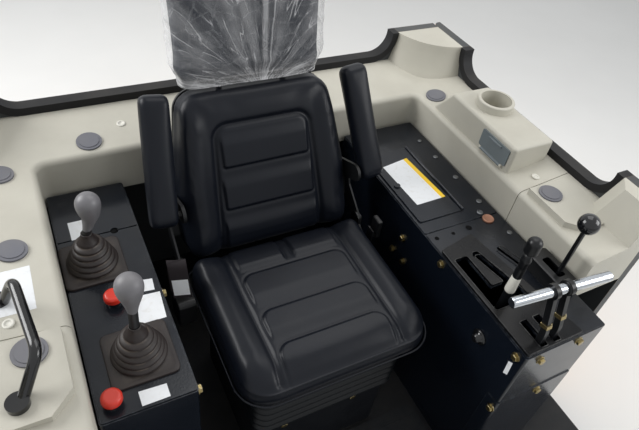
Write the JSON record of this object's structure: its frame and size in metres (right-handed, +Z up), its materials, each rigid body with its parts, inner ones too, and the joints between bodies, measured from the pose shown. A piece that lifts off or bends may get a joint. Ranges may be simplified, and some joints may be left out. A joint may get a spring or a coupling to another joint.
{
  "type": "operator's station of a crawler dozer",
  "caption": "Lower half of a crawler dozer's cab with floor, low walls and moulded lining, a suspension seat, and a lever console on each side.",
  "frame": {"origin": "centre of the four cab mounts, on the underside of their pads", "axes": "+Z up; the operator faces -Y, so the operator's left is +X; +X is the longest extent"},
  "size_m": [1.6, 1.3, 1.2059],
  "materials": {
    "paint_yellow": "gloss",
    "painted_grey": "satin",
    "lining": "matte",
    "console": "gloss",
    "vinyl": "satin",
    "dark_plastic": "satin",
    "flap_grey": "satin",
    "rubber": "matte",
    "rubber_mat": "matte",
    "red": "gloss",
    "white": "satin",
    "steel": "satin",
    "chrome": "gloss"
  },
  "bodies": {
    "station": {"floor_plate": "painted_grey", "floor_frame": "painted_grey", "floor_mat": "rubber_mat", "wall_left": "paint_yellow", "wall_right": "paint_yellow", "wall_rear": "paint_yellow", "seal_left": "rubber", "seal_right": "rubber", "seal_rear": "rubber", "lining_rear_left": "lining", "lining_rear_right": "lining", "lining_front_left": "lining", "lining_front_right": "lining", "vent_caps": "dark_plastic", "cup_box": "lining", "grab_handle": "dark_plastic", "console_right": "console", "console_right_cover": "console", "stop_buttons": "red", "blade_boot": "rubber", "ripper_boot": "rubber", "lever_brackets_right": "steel", "console_left": "console", "console_left_front": "console", "console_left_cover": "console", "storage_tray": "dark_plastic", "gate_plate": "console", "throttle_block": "dark_plastic", "lever_brackets_left": "steel", "seat_pedestal": "painted_grey", "seat_bellows": "rubber", "seat_rails": "steel", "suspension_links": "steel"},
    "seat": {"seat_pan": "steel", "seat_cushion": "vinyl", "belt_retractor": "dark_plastic", "belt_buckle": "dark_plastic"},
    "backrest": {"back_cushion": "vinyl", "back_shell": "dark_plastic", "arm_brackets": "steel"},
    "headrest": {"head_part": "vinyl", "head_posts": "chrome"},
    "left_armrest": {"armrest_left": "vinyl"},
    "right_armrest": {"armrest_right": "vinyl"},
    "blade_stick": {"blade_lever": "dark_plastic"},
    "ripper_stick": {"ripper_lever": "dark_plastic"},
    "gear_stick": {"gear_lever": "white", "gear_knob": "flap_grey"},
    "throttle": {"throttle_lever": "dark_plastic"},
    "steering": {"steer_arms": "dark_plastic", "steer_bar": "chrome"},
    "lid": {"storage_lid": "console"},
    "flap": {"ashtray_flap": "flap_grey"}
  },
  "joints": [
    {"name": "seat_slide", "type": "slide", "parent": "station", "child": "seat", "axis": [0, 1, 0], "range_m": [-0.06, 0.08]},
    {"name": "backrest_recline", "type": "hinge", "parent": "seat", "child": "backrest", "pos_m": [0, 0.172, 0.538], "axis": [-1, 0, 0], "range_deg": [-10, 4]},
    {"name": "headrest_rise", "type": "slide", "parent": "backrest", "child": "headrest", "axis": [0, 0.3827, 0.9239], "range_m": [0, 0.06]},
    {"name": "left_armrest_fold", "type": "hinge", "parent": "backrest", "child": "left_armrest", "pos_m": [0.286, 0.196, 0.698], "axis": [1, 0, 0], "range_deg": [0, 117]},
    {"name": "right_armrest_fold", "type": "hinge", "parent": "backrest", "child": "right_armrest", "pos_m": [-0.286, 0.196, 0.698], "axis": [1, 0, 0], "range_deg": [0, 117]},
    {"name": "blade_stick_tilt", "type": "hinge", "parent": "station", "child": "blade_stick", "pos_m": [-0.423, -0.108, 0.612], "axis": [1, 0, 0], "range_deg": [-12, 12], "stiffness_Nm_per_rad": 6, "deforming": ["blade_boot"]},
    {"name": "ripper_stick_tilt", "type": "hinge", "parent": "station", "child": "ripper_stick", "pos_m": [-0.46, 0.165, 0.612], "axis": [1, 0, 0], "range_deg": [-12, 12], "stiffness_Nm_per_rad": 6, "deforming": ["ripper_boot"]},
    {"name": "gear_stick_tilt", "type": "hinge", "parent": "station", "child": "gear_stick", "pos_m": [0.401, -0.281, 0.54], "axis": [0, 1, 0], "range_deg": [-14, 14]},
    {"name": "throttle_tilt", "type": "hinge", "parent": "station", "child": "throttle", "pos_m": [0.551, -0.288, 0.595], "axis": [-1, 0, 0], "range_deg": [0, 20]},
    {"name": "steering_pull", "type": "hinge", "parent": "station", "child": "steering", "pos_m": [0.412, -0.402, 0.4], "axis": [-1, 0, 0], "range_deg": [0, 9]},
    {"name": "storage_lid_hinge", "type": "hinge", "parent": "station", "child": "lid", "pos_m": [0.492, 0.157, 0.6455], "axis": [0, 1, 0], "range_deg": [0, 85]},
    {"name": "ashtray_flap_hinge", "type": "hinge", "parent": "station", "child": "flap", "pos_m": [0.603, 0.082, 0.751], "axis": [0, -1, 0], "range_deg": [0, 60]}
  ]
}
